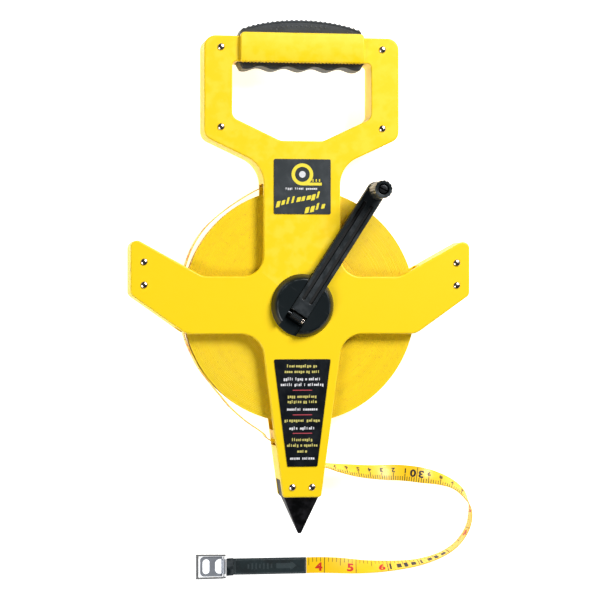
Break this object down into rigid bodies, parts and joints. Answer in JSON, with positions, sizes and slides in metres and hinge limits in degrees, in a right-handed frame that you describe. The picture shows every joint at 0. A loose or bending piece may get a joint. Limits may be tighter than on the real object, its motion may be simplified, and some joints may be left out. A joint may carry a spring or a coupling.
{
  "type": "surveyor tape reel",
  "caption": "Open-reel measuring tape: riveted two-shell frame with D-handle, side arms and ground spike, a fold-over crank, and a tape ending in a leader and folding hook.",
  "frame": {"origin": "on the reel's axle at the plane that the reel rests on when it lies on its back", "axes": "+Z out of the front shell, along the axle; +Y from the axle to the handle; +X to the right seen from the front"},
  "size_m": [0.2772, 0.4416, 0.0677],
  "materials": {
    "yellow_plastic": "moulded, satin gloss",
    "grip_rubber": "soft moulded rubber",
    "black_plastic": "moulded, satin",
    "rivet_steel": "bright domed heads",
    "steel": "bright plated",
    "dark_steel": "blued",
    "tape_yellow": "coated fibreglass, printed",
    "bush_acetal": "natural acetal",
    "leader_vinyl": "moulded vinyl",
    "upper_label": "printed film",
    "lower_label": "printed film"
  },
  "bodies": {
    "root": {"front_shell": "yellow_plastic", "rear_shell": "yellow_plastic", "handle_grip": "grip_rubber", "ground_spike": "black_plastic", "rivet_handle_upper_right": "rivet_steel", "rivet_handle_upper_left": "rivet_steel", "rivet_handle_lower_right": "rivet_steel", "rivet_handle_lower_left": "rivet_steel", "rivet_arm_upper_right": "rivet_steel", "rivet_arm_upper_left": "rivet_steel", "rivet_arm_lower_right": "rivet_steel", "rivet_arm_lower_left": "rivet_steel", "rivet_leg_right": "rivet_steel", "rivet_leg_left": "rivet_steel", "upper_label": "upper_label", "lower_label": "lower_label", "front_bush": "bush_acetal", "rear_bush": "bush_acetal", "rear_bearing_cover": "black_plastic", "cover_screw_1": "steel", "cover_screw_2": "steel", "cover_screw_3": "steel", "loose_turn": "tape_yellow", "free_tape": "tape_yellow", "leader_sleeve": "leader_vinyl", "leader_collar": "leader_vinyl", "hook_plate": "dark_steel", "hook_pin": "steel"},
    "reel": {"wound_tape": "tape_yellow", "spool_core": "black_plastic", "axle_shaft": "steel", "axle_clip": "steel", "hub_cap": "black_plastic", "hub_cap_screw": "steel", "crank_hinge_pin": "steel", "crank_spring": "steel"},
    "crank": {"crank_arm": "black_plastic", "knob_screw": "steel"},
    "knob": {"crank_knob": "black_plastic"},
    "hook": {"hook_bail": "steel"}
  },
  "joints": [
    {"name": "reel_spin", "type": "hinge", "parent": "root", "child": "reel", "pos_m": [0, 0, 0.016], "axis": [0, 0, 1], "continuous": true},
    {"name": "crank_fold", "type": "hinge", "parent": "reel", "child": "crank", "pos_m": [-0.00569, -0.00883, 0.038], "axis": [0.8406, -0.5417, 0], "range_deg": [0, 180]},
    {"name": "knob_spin", "type": "hinge", "parent": "crank", "child": "knob", "pos_m": [0.05807, 0.09011, 0.0417], "axis": [0, 0, 1], "continuous": true},
    {"name": "hook_fold", "type": "hinge", "parent": "root", "child": "hook", "pos_m": [-0.0582, -0.207, 0.0023], "axis": [0, 1, 0], "range_deg": [0, 175]}
  ]
}
